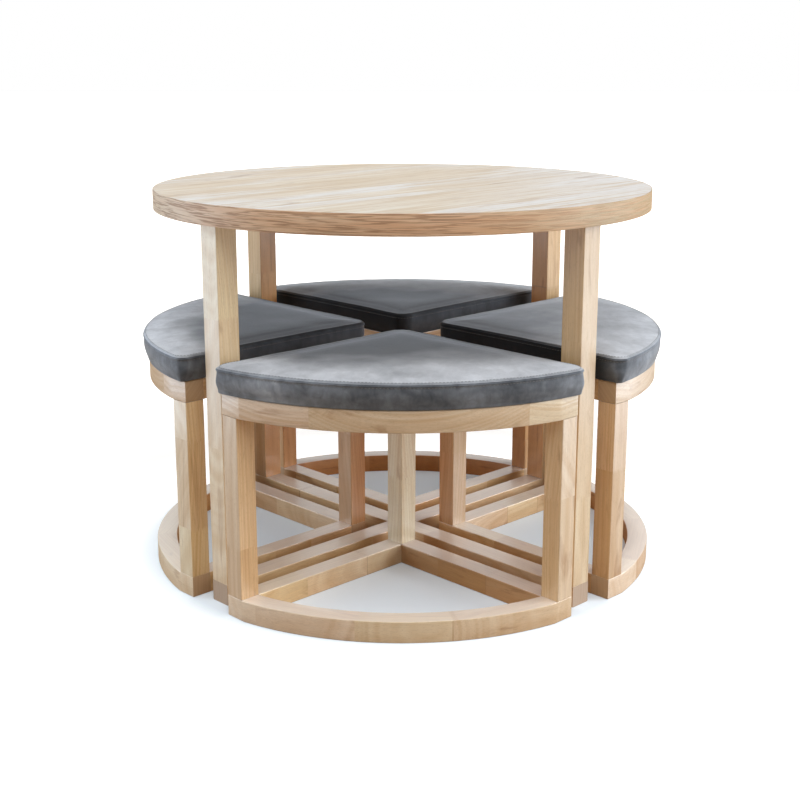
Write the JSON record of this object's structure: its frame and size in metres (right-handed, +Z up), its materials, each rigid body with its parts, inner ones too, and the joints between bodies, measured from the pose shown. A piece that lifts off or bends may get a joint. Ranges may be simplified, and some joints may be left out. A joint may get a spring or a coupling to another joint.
{
  "type": "nesting dining table and stool set",
  "caption": "Round wooden dining table on crossed floor rails, with quarter-circle upholstered stools that slide under its top.",
  "frame": {"origin": "on the floor under the middle of the round top, with every stool slid in", "axes": "+Z up; -Y towards the front stool, +X towards the right stool; the table's legs stand on the two diagonals"},
  "size_m": [1.039, 1.039, 0.75],
  "materials": {
    "top_oak": "pale brushed oak, satin lacquer",
    "table_beech": "finger-jointed beech, matt oil",
    "stool_beech": "finger-jointed beech, matt oil",
    "seat_board_plywood": "raw birch plywood",
    "cushion_suede": "slate grey microsuede with a brushed nap"
  },
  "bodies": {
    "table": {"table_top": "top_oak", "front_left_leg": "table_beech", "front_right_leg": "table_beech", "back_left_leg": "table_beech", "back_right_leg": "table_beech", "floor_rail_a": "table_beech", "floor_rail_b": "table_beech"},
    "front_stool": {"front_stool_base_curve": "stool_beech", "front_stool_base_rail_long": "stool_beech", "front_stool_base_rail_short": "stool_beech", "front_stool_apron_curve": "stool_beech", "front_stool_apron_rail_long": "stool_beech", "front_stool_apron_rail_short": "stool_beech", "front_stool_post_apex": "stool_beech", "front_stool_post_long_end": "stool_beech", "front_stool_post_short_end": "stool_beech", "front_stool_seat_board": "seat_board_plywood", "front_stool_cushion": "cushion_suede"},
    "right_stool": {"right_stool_base_curve": "stool_beech", "right_stool_base_rail_long": "stool_beech", "right_stool_base_rail_short": "stool_beech", "right_stool_apron_curve": "stool_beech", "right_stool_apron_rail_long": "stool_beech", "right_stool_apron_rail_short": "stool_beech", "right_stool_post_apex": "stool_beech", "right_stool_post_long_end": "stool_beech", "right_stool_post_short_end": "stool_beech", "right_stool_seat_board": "seat_board_plywood", "right_stool_cushion": "cushion_suede"},
    "back_stool": {"back_stool_base_curve": "stool_beech", "back_stool_base_rail_long": "stool_beech", "back_stool_base_rail_short": "stool_beech", "back_stool_apron_curve": "stool_beech", "back_stool_apron_rail_long": "stool_beech", "back_stool_apron_rail_short": "stool_beech", "back_stool_post_apex": "stool_beech", "back_stool_post_long_end": "stool_beech", "back_stool_post_short_end": "stool_beech", "back_stool_seat_board": "seat_board_plywood", "back_stool_cushion": "cushion_suede"},
    "left_stool": {"left_stool_base_curve": "stool_beech", "left_stool_base_rail_long": "stool_beech", "left_stool_base_rail_short": "stool_beech", "left_stool_apron_curve": "stool_beech", "left_stool_apron_rail_long": "stool_beech", "left_stool_apron_rail_short": "stool_beech", "left_stool_post_apex": "stool_beech", "left_stool_post_long_end": "stool_beech", "left_stool_post_short_end": "stool_beech", "left_stool_seat_board": "seat_board_plywood", "left_stool_cushion": "cushion_suede"}
  },
  "joints": [
    {"name": "front_stool_slide", "type": "slide", "parent": "table", "child": "front_stool", "axis": [0, -1, 0], "range_m": [0, 0.5]},
    {"name": "right_stool_slide", "type": "slide", "parent": "table", "child": "right_stool", "axis": [1, 0, 0], "range_m": [0, 0.5]},
    {"name": "back_stool_slide", "type": "slide", "parent": "table", "child": "back_stool", "axis": [0, 1, 0], "range_m": [0, 0.5]},
    {"name": "left_stool_slide", "type": "slide", "parent": "table", "child": "left_stool", "axis": [-1, 0, 0], "range_m": [0, 0.5]}
  ]
}
